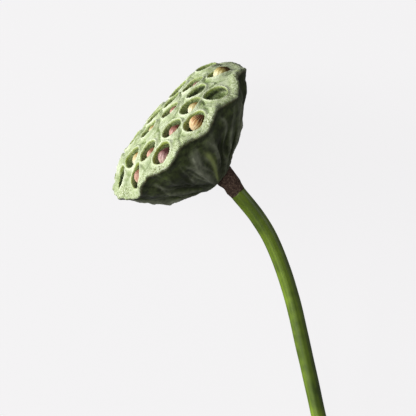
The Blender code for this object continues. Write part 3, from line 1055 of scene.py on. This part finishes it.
    def roughen(self, mesh: bpy.types.Mesh) -> None:
        """Raise the folds of the back and the crumbs of the rim along the surface.

        Args:
            mesh: The head's mesh, in the pod's axes.
        """
        places, outwards = vertex_places(mesh), vertex_normals(mesh)
        near, _, height = self.wall_distances(places)
        inside = (near < 0.25 * MM) & (height < 0.5 * MM) & (height > -self.deepest_inside)
        back = self.back_share(places) * (1 - inside)
        radius, depth = np.hypot(places[:, 0], places[:, 1]), -places[:, 2]
        coarse, fine = self.crumb_sizes
        crumbs = noise_field(places / coarse, 1) + 0.6 * noise_field(places / fine, 2)
        coarse, fine = self.soft_sizes
        soft = noise_field(places / coarse, 4) + 0.5 * noise_field(places / fine, 7)
        on_rim = (1 - inside) * smoothstep(42.5 * MM, 45.0 * MM, radius)
        on_rim = on_rim * smoothstep(-4.0 * MM, -2.0 * MM, -depth)
        grains = np.clip(noise_field(places / self.grain_size, 9) - 0.1, 0.0, 1.0)
        grains = grains * self.grain_clusters(places) * on_rim
        rise = self.broad_height * (self.folds(places, *self.broad_folds) - self.fold_level)
        rise += (self.fine_height * self.folds(places, *self.fine_folds)
                 + self.streak_height * self.streak(places))
        outward, inward = smoothstep(*self.fold_outward, depth), smoothstep(*self.fold_inward, depth)
        rise *= np.where(rise > 0, outward, inward) * back
        rise += self.crumb_height * crumbs * (1 - 0.6 * back) + self.soft_height * soft * (1 - inside)
        rise += self.grain_height * grains
        move_vertices(mesh, places + outwards * rise[:, None])

    def mask(self, mesh: bpy.types.Mesh) -> None:
        """Store where each zone of the skin is.

        Args:
            mesh: The head's mesh, in the pod's axes.
        """
        places = vertex_places(mesh)
        radius = np.hypot(places[:, 0], places[:, 1])
        near, next_near, height = self.wall_distances(places)
        inside = smoothstep(0.3 * MM, -0.15 * MM, near) * smoothstep(1.2 * MM, 0.4 * MM, height)
        inside *= height > -self.deepest_inside
        level = self.rim_level(places)
        back = smoothstep(-0.4 * MM, -0.7 * MM, level) * (1 - inside)
        front = (1 - back) * (1 - inside)
        clusters = self.grain_clusters(places)
        broad, fine = self.folds(places, *self.broad_folds), self.folds(places, *self.fine_folds)
        base_reach = np.hypot(places[:, 0] + self.lean, places[:, 1])
        bare = np.min([c.from_wall(places)[0] for c in self.chambers if not c.holds_seed], axis=0) < MM
        # Painted light: deep in the empty chambers the wall takes the face's pale colours instead of the
        # inside ones.
        store_mask(mesh, "inside", inside * (1 - bare * smoothstep(-1.6 * MM, -3.2 * MM, height)))
        store_mask(mesh, "back", back)
        # Painted shade in the chambers: deeper is darker in full ones, and empty ones have a painted shadow
        # band below the mouth.
        deep = smoothstep(0.0, -5.5 * MM, height)
        shadow = 0.9 * smoothstep(0.3 * MM, -0.6 * MM, height) * smoothstep(-3.8 * MM, -1.6 * MM, height)
        store_mask(mesh, "well", inside * np.where(bare, shadow, deep))
        # The raised lips: partly their own pale tone, partly a painted highlight.
        store_mask(mesh, "lip", front * np.exp(-((near - 0.9 * MM) / (0.6 * MM)) ** 2))
        # Painted glow of light through the thin lip edges.
        store_mask(mesh, "lip_glow", 0.9 * (1 - back) * np.exp(-(near / (0.42 * MM)) ** 2)
                   * smoothstep(-2.5 * MM, -0.8 * MM, height))
        # Painted shade in the creases of the face.
        store_mask(mesh, "groove", front * self.creases(places, near, next_near))
        store_mask(mesh, "rim_band", front * smoothstep(41.5 * MM, 45.0 * MM, radius)
                   * smoothstep(0.8 * MM, 2.0 * MM, near))
        store_mask(mesh, "grains", front * clusters * smoothstep(42.0 * MM, 45.0 * MM, radius))
        store_mask(mesh, "rim_line", (1 - inside) * (radius > 40.0 * MM)
                   * np.exp(-((level + 0.45 * MM) / (0.3 * MM)) ** 2))
        # Painted shade: the back is darkened just under the rim's edge.
        store_mask(mesh, "under_rim", 0.5 * back * smoothstep(-3.4 * MM, -0.9 * MM, level))
        # Where the painted sheen of the fold crests goes.
        store_mask(mesh, "fold", back * np.clip(1.1 * broad + 0.8 * fine, 0.0, 1.0))
        # Painted shade in the hollows between the folds.
        store_mask(mesh, "hollow", back * np.clip(-2.5 * broad - fine, 0.0, 1.0))
        # Painted highlight along the raised stripe.
        store_mask(mesh, "streak", back * self.streak(places))
        # Near the base, where a faint painted sheen goes.
        store_mask(mesh, "base", back * smoothstep(15.0 * MM, 9.0 * MM, base_reach))


@dataclass(frozen=True)
class NutPose:
    """How a nut that is seen well lies in its chamber, beside the rule for all of them."""

    tone: SeedTone
    side: float = 0.0
    rise: float = 0.0
    size: float = 1.0


@dataclass
class Nuts:
    """The nuts in the chambers, modelled once and copied, each with a mesh of its own."""

    radius: float = 4.35 * MM
    top_height: float = 4.5 * MM
    bottom_height: float = 5.6 * MM
    middle: tuple = (0.6 * MM, -0.6 * MM, -3.2 * MM)
    deeper: float = 1.2 * MM
    uphill_rise: float = 1.4 * MM
    tilt: float = math.radians(4.0)
    sizes: tuple = (0.92, 1.02)
    random_seed: int = 21
    tip_lift: float = math.radians(16.0)
    tip_reach: float = 0.24
    tip_spread: float = 0.95
    # The way the nut darkens: towards its point as it ripens, and to one side as painted shade.
    ripe_and_shade_way: tuple = (1.0, 0.0, 0.4)
    line_count: int = 19
    segments: int = 64
    rings: int = 48
    poses: dict = field(default_factory=lambda: {
        5: NutPose(SeedTone.SALMON, side=0.3, rise=0.3), 6: NutPose(SeedTone.PINK, side=-0.9, size=1.03),
        7: NutPose(SeedTone.ORANGE, rise=0.4, size=1.04), 8: NutPose(SeedTone.OLIVE, rise=1.4, size=1.1),
        11: NutPose(SeedTone.CREAM, rise=-0.4), 12: NutPose(SeedTone.PINK, side=0.8, rise=-1.0),
        16: NutPose(SeedTone.CREAM, side=0.3, rise=-0.6), 17: NutPose(SeedTone.SALMON, side=-0.6, rise=-1.0),
        18: NutPose(SeedTone.ROSE, side=-0.4, rise=-0.3), 21: NutPose(SeedTone.CREAM, side=0.8, rise=-0.4),
        22: NutPose(SeedTone.ROSE, side=1.0, rise=-0.2)})

    def model(self) -> bpy.types.Object:
        """Model one nut about its own middle: blunt on top, with its point to the +X side.

        Returns:
            The nut, that the others are copied from.
        """
        height = np.cos(np.linspace(0.0, math.pi, 60))
        reach = np.where(height > 0, self.top_height, self.bottom_height)
        outline = np.stack((self.radius * np.sqrt(1 - height ** 2), reach * height), axis=1)
        nut = turned_solid("nut", outline, self.segments, self.rings)
        places = vertex_places(nut.data)
        way = places / np.linalg.norm(places, axis=1)[:, None]
        point = np.array((math.cos(self.tip_lift), 0.0, math.sin(self.tip_lift)))
        level = np.array((-math.sin(self.tip_lift), 0.0, math.cos(self.tip_lift)))
        along = np.clip(way @ point, -1.0, 1.0)
        turn = np.arctan2(way[:, 1], way @ level)
        line = np.cos(self.line_count * turn + 1.5 * np.sin(4 * turn + 3 * along))
        line = line * np.sqrt(np.clip(1 - along ** 2, 0.0, 1.0))
        sharp = np.clip(1 - np.arccos(along) / self.tip_spread, 0.0, 1.0) ** 2
        swell = 1.0 + self.tip_reach * sharp + 0.008 * line + 0.015 * np.sin(2 * turn)
        # Darker towards the point: partly ripening, partly painted shade on the side turned from the light.
        ripe_and_shade = way @ (np.array(self.ripe_and_shade_way) / np.linalg.norm(self.ripe_and_shade_way))
        store_mask(nut.data, "line", line)
        store_mask(nut.data, "ripe_and_shade", 0.48 + 0.5 * ripe_and_shade)
        store_mask(nut.data, "tip", np.clip(1 - np.arccos(along) / 0.3, 0.0, 1.0))
        move_vertices(nut.data, places * swell[:, None])
        return nut

    def build(self, head: SeedHead) -> list[bpy.types.Object]:
        """Copy the nut into each full chamber.

        Args:
            head: The seed head, whose chambers are laid out.

        Returns:
            The nuts, in the order of the solids that they replace.
        """
        draw = random.Random(self.random_seed)
        first, nuts = self.model(), []
        for chamber in head.chambers:
            chamber_size = chamber.radius / WIDEST_CHAMBER
            size = draw.uniform(*self.sizes) * chamber_size
            tilt = Matrix.Rotation(draw.uniform(-self.tilt, self.tilt), 4, "X")
            turn = Matrix.Rotation(0.1 * draw.uniform(0.0, math.tau) - 0.3, 4, "Z")
            if not chamber.holds_seed:
                continue
            number = len(nuts) + 1
            pose = self.poses.get(number)
            uphill = max(0.0, -chamber.mouth.y / head.chamber_limit) if chamber.outer else 0.0
            rise = self.uphill_rise * uphill + (pose.rise * MM if pose else -self.deeper)
            side = pose.side * MM if pose else 0.0
            middle = chamber_size * Vector(self.middle) + Vector((side, 0.0, rise))
            nut = first.copy()
            nut.data = first.data.copy()
            nut.name = nut.data.name = f"nut_{number:02d}"
            bpy.context.scene.collection.objects.link(nut)
            nut.data.transform(tilt @ turn @ Matrix.Scale(size * (pose.size if pose else 1.0), 4))
            nut.data.transform(head.axes() @ chamber.matrix() @ Matrix.Translation(middle))
            nuts.append(nut)
        bpy.data.objects.remove(first)
        return nuts

    def dress(self, nuts: list[bpy.types.Object]) -> None:
        """Give each nut its tone: those seen best by the list, the others in turn.

        Args:
            nuts: The nuts, in the order of the solids that they replace.
        """
        finishes = {tone: NutSkin(tone).material() for tone in SeedTone}
        others = (SeedTone.SALMON, SeedTone.CREAM, SeedTone.ROSE, SeedTone.OLIVE)
        for number, nut in enumerate(nuts, start=1):
            tone = self.poses[number].tone if number in self.poses else others[number % len(others)]
            finish_piece(nut, finishes[tone], (f"seed_{number:02d}",))


@dataclass
class Stalk:
    """The stalk and its brown neck, along one curved line that ends on the surface."""

    sidestep: float = -2.1 * MM
    gap: float = 0.3 * MM
    neck_top: float = 5.8 * MM
    neck_bottom: float = 4.35 * MM
    neck_length: float = 12.0 * MM
    neck_lump: float = 0.18 * MM
    neck_fibre: float = 0.16 * MM
    top_radius: float = 4.25 * MM
    end_radius: float = 3.9 * MM
    line_count: int = 4
    line_length: float = 60.0 * MM
    line_height: float = 0.015 * MM
    swell_size: float = 16.0 * MM
    swell_height: float = 0.12 * MM
    flat: float = 0.3 * MM
    straight_start: float = 4.0 * MM
    sunk: float = 1.0 * MM
    sides: int = 96
    rings: int = 240
    neck_rings: int = 60
    route: tuple = ((-43.0, 3.5), (-60.3, 5.9), (-77.6, 11.4), (-101.5, 23.8), (-128.7, 41.8),
                    (-156.8, 60.8), (-181.4, 77.8), (-205.5, 95.2))
    seen: np.ndarray = field(init=False)
    walked: np.ndarray = field(init=False)
    start: float = field(init=False)
    slope: float = field(init=False)
    easing: float = field(init=False)

    def plan(self, head: SeedHead) -> None:
        """Work out the centreline from the middle of the head's base.

        Args:
            head: The seed head that the stalk carries.
        """
        base = head.axes() @ Vector((self.sidestep, 0.0, -head.depth))
        middle = head.axes().translation
        knots = [(base.x, base.y), (base.x - self.straight_start, base.y)]
        knots += [(middle.x + x * MM, middle.y + y * MM) for x, y in self.route]
        self.seen = smooth_path(knots, 10)
        steps = np.linalg.norm(np.diff(self.seen, axis=0), axis=1)
        self.walked = np.concatenate(((0.0,), np.cumsum(steps)))
        self.start, self.slope = base.z, math.tan(head.tilt)
        end_height = self.end_radius * math.cos(head.tilt) - self.flat
        length = self.walked[-1]
        self.easing = (end_height - base.z + self.slope * length) / length ** 2

    def centres(self, distances: np.ndarray) -> np.ndarray:
        """Read points from the centreline.

        Args:
            distances: How far from the base they are, measured on the level.

        Returns:
            The points, one row each.
        """
        held = np.maximum(distances, 0.0)
        x = np.interp(held, self.walked, self.seen[:, 0]) + np.maximum(-distances, 0.0)
        y = np.interp(held, self.walked, self.seen[:, 1])
        return np.stack((x, y, self.start - self.slope * distances + self.easing * distances ** 2), axis=1)

    def tube(self, name: str, distances: np.ndarray,
             radii: np.ndarray) -> tuple[bpy.types.Object, np.ndarray, np.ndarray, np.ndarray]:
        """Loft a closed tube along the centreline.

        Args:
            name: The new object's name.
            distances: Where its rings stand.
            radii: The radius of each ring.

        Returns:
            The object, and for each vertex its distance, its angle and its way out.
        """
        bpy.ops.object.select_all(action="DESELECT")
        bpy.ops.mesh.primitive_uv_sphere_add(segments=self.sides, ring_count=len(distances) + 1, radius=1.0)
        thing = bpy.context.object
        thing.name = name
        places = vertex_places(thing.data)
        steps = len(distances) + 1
        ring = np.rint(np.arccos(np.clip(places[:, 2], -1.0, 1.0)) / math.pi * steps).astype(int)
        angle = np.arctan2(places[:, 1], places[:, 0])
        on_axis = (ring == 0) | (ring == steps)
        ring = np.clip(ring - 1, 0, len(distances) - 1)
        centres = self.centres(distances)
        forward = np.gradient(centres, axis=0)
        forward /= np.linalg.norm(forward, axis=1)[:, None]
        side = np.cross(forward, (0.0, 0.0, 1.0))
        side /= np.linalg.norm(side, axis=1)[:, None]
        over = np.cross(side, forward)
        outwards = np.cos(angle)[:, None] * over[ring] + np.sin(angle)[:, None] * side[ring]
        outwards[on_axis] = 0.0
        move_vertices(thing.data, centres[ring] + outwards * np.asarray(radii)[ring][:, None])
        select_only(thing)
        bpy.ops.object.mode_set(mode="EDIT")
        bpy.ops.mesh.select_all(action="SELECT")
        bpy.ops.mesh.normals_make_consistent(inside=False)
        bpy.ops.object.mode_set(mode="OBJECT")
        return thing, distances[ring], angle, outwards

    def build_neck(self) -> bpy.types.Object:
        """Model the rough neck, let into the head at one end and over the stalk at the other.

        Returns:
            The neck, without its material.
        """
        distances = np.linspace(-self.sunk, self.neck_length, self.neck_rings)
        share = np.clip(distances / self.neck_length, 0.0, 1.0)
        radii = self.neck_top - (self.neck_top - self.neck_bottom) * share ** 0.8
        radii = radii + 0.5 * self.neck_lump * np.sin(3.2 * math.pi * share)
        neck, along, angle, outwards = self.tube("neck", distances, radii)
        places = vertex_places(neck.data)
        fibre = np.stack((5 * np.cos(angle), 5 * np.sin(angle), along / (3.0 * MM)), axis=1)
        rise = self.neck_lump * np.sin(3 * angle + along / (0.6 * MM) * 0.6)
        rise = rise + self.neck_fibre * (noise_field(fibre, 6) + 0.6 * noise_field(places / (0.8 * MM), 8))
        rise = rise * (1 - 0.7 * smoothstep(0.6, 0.9, along / self.neck_length))
        move_vertices(neck.data, places + outwards * rise[:, None])
        return neck

    def build_stalk(self) -> bpy.types.Object:
        """Model the smooth stalk, let into the neck, cut off plainly and flat where it rests.

        Returns:
            The stalk, without its material.
        """
        start, end = self.neck_length + self.gap, self.walked[-1]
        distances = np.concatenate(((start - 2 * self.sunk,), np.linspace(start, end, self.rings)))
        share = np.clip((distances - start) / (end - start), 0.0, 1.0)
        radii = self.top_radius + (self.end_radius - self.top_radius) * share
        stalk, along, angle, outwards = self.tube("stalk", distances, radii)
        places = vertex_places(stalk.data)
        round_and_along = self.line_count * on_circle(angle)
        round_and_along[:, 2] = along / self.line_length
        lines = noise_field(round_and_along, 2)
        rise = self.line_height * lines + self.swell_height * noise_field(places / self.swell_size, 3)
        move_vertices(stalk.data, places + outwards * rise[:, None])
        store_mask(stalk.data, "line", lines)
        on_cut = (along > end - 0.01 * MM) & (np.linalg.norm(outwards, axis=1) < 0.5)
        store_mask(stalk.data, "cut", on_cut.astype(float))
        cut_at_surface(stalk)
        return stalk


@dataclass
class Studio:
    """A pale surface, a large soft key light with two weak ones, and the camera above."""

    floor_size: float = 30.0
    floor_glow: float = 0.97
    distance: float = 1.6
    view_width: float = 219.0 * MM
    sensor: float = 36.0
    aim: tuple = (-37.2 * MM, 20.2 * MM)
    right: tuple = (-0.729, -0.684, 0.0)
    up: tuple = (0.684, -0.729, 0.0)
    key_height: float = math.radians(16.0)
    key_turn: float = math.radians(12.0)
    key_power: float = 70.0
    key_size: float = 1.3
    key_distance: float = 2.2
    top_lean: float = 0.6
    top_power: float = 24.0
    top_size: float = 2.2
    top_distance: float = 2.4
    edge_power: float = 3.0
    edge_size: float = 1.2
    fill: float = 0.09

    def build(self, head: SeedHead) -> None:
        """Make the floor, the lights, the world and the camera.

        Args:
            head: The seed head, that they stand round.
        """
        middle = head.axes().translation
        self.lay_floor()
        self.light(middle)
        self.place_camera(middle)

    def lay_floor(self) -> None:
        """Lay a pale glowing surface that throws no light back on the pod."""
        bpy.ops.object.select_all(action="DESELECT")
        bpy.ops.mesh.primitive_circle_add(vertices=64, radius=self.floor_size / 2, fill_type="NGON")
        floor = bpy.context.object
        floor.name = "surface"
        # Matt painted board: pale and even, because its own glow outshines all shadows on it.
        made, _, shader = new_material("pale studio surface")
        shader.inputs["Base Color"].default_value = linear("#363636")
        shader.inputs["Roughness"].default_value = 1.0
        shader.inputs["Emission Color"].default_value = linear("#f2f1f2")
        shader.inputs["Emission Strength"].default_value = self.floor_glow
        floor.data.materials.append(made)
        floor.visible_diffuse = False
        floor.visible_glossy = False

    def hang_light(self, name: str, middle: Vector, way: Vector, distance: float, size: float,
                   power: float) -> None:
        """Hang a round soft light that shines on the pod.

        Args:
            name: The light's name.
            middle: The point that it shines on.
            way: The way to it from there.
            distance: How far off it hangs.
            size: Its width.
            power: Its power in watts.
        """
        data = bpy.data.lights.new(name, "AREA")
        data.shape, data.size, data.energy = "DISK", size, power
        lamp = bpy.data.objects.new(name, data)
        lamp.location = middle + way.normalized() * distance
        lamp.rotation_euler = (-way).to_track_quat("-Z", "Y").to_euler()
        bpy.context.scene.collection.objects.link(lamp)

    def light(self, middle: Vector) -> None:
        """Hang the key light to the left of the view, weak ones over and right of it, and a dim sky.

        Args:
            middle: The middle of the rim.
        """
        right, up = Vector(self.right).normalized(), Vector(self.up).normalized()
        level = up * math.sin(self.key_turn) - right * math.cos(self.key_turn)
        key_way = level * math.cos(self.key_height) + Vector((0.0, 0.0, math.sin(self.key_height)))
        self.hang_light("key", middle, key_way, self.key_distance, self.key_size, self.key_power)
        top_way = Vector((0.0, 0.0, 1.0)) - right * self.top_lean
        self.hang_light("top", middle, top_way, self.top_distance, self.top_size, self.top_power)
        edge_way = right + 0.35 * up + Vector((0.0, 0.0, 0.3))
        self.hang_light("edge", middle, edge_way, self.top_distance, self.edge_size, self.edge_power)
        world = bpy.data.worlds.new("even sky")
        world.use_nodes = True
        sky = world.node_tree.nodes["Background"]
        sky.inputs["Color"].default_value = (1.0, 1.0, 1.0, 1.0)
        sky.inputs["Strength"].default_value = self.fill
        bpy.context.scene.world = world

    def place_camera(self, middle: Vector) -> None:
        """Look straight down on the pod, turned as the photograph is.

        Args:
            middle: The middle of the rim.
        """
        right, up = Vector(self.right).normalized(), Vector(self.up).normalized()
        data = bpy.data.cameras.new("camera")
        data.sensor_width = self.sensor
        data.lens = self.sensor * self.distance / self.view_width
        camera = bpy.data.objects.new("camera", data)
        place = middle + Vector((*self.aim, self.distance))
        camera.matrix_world = Matrix((
            (right.x, up.x, 0.0, place.x), (right.y, up.y, 0.0, place.y),
            (0.0, 0.0, 1.0, place.z), (0.0, 0.0, 0.0, 1.0)))
        bpy.context.scene.collection.objects.link(camera)
        bpy.context.scene.camera = camera
        bpy.context.scene.view_settings.view_transform = "Standard"


def main() -> None:
    """Build the pod piece by piece, and the studio round it."""
    logging.basicConfig(level=logging.INFO, format="%(name)s %(message)s")
    head, nuts, stalk = SeedHead(), Nuts(), Stalk()
    finish_piece(head.build(), PodSkin().material(), ("receptacle",))
    nuts.dress(nuts.build(head))
    stalk.plan(head)
    finish_piece(stalk.build_neck(), CollarBark().material(), ("collar",))
    finish_piece(stalk.build_stalk(), StalkSkin().material(), ("stem",))
    Studio().build(head)


if __name__ == "__main__":
    main()
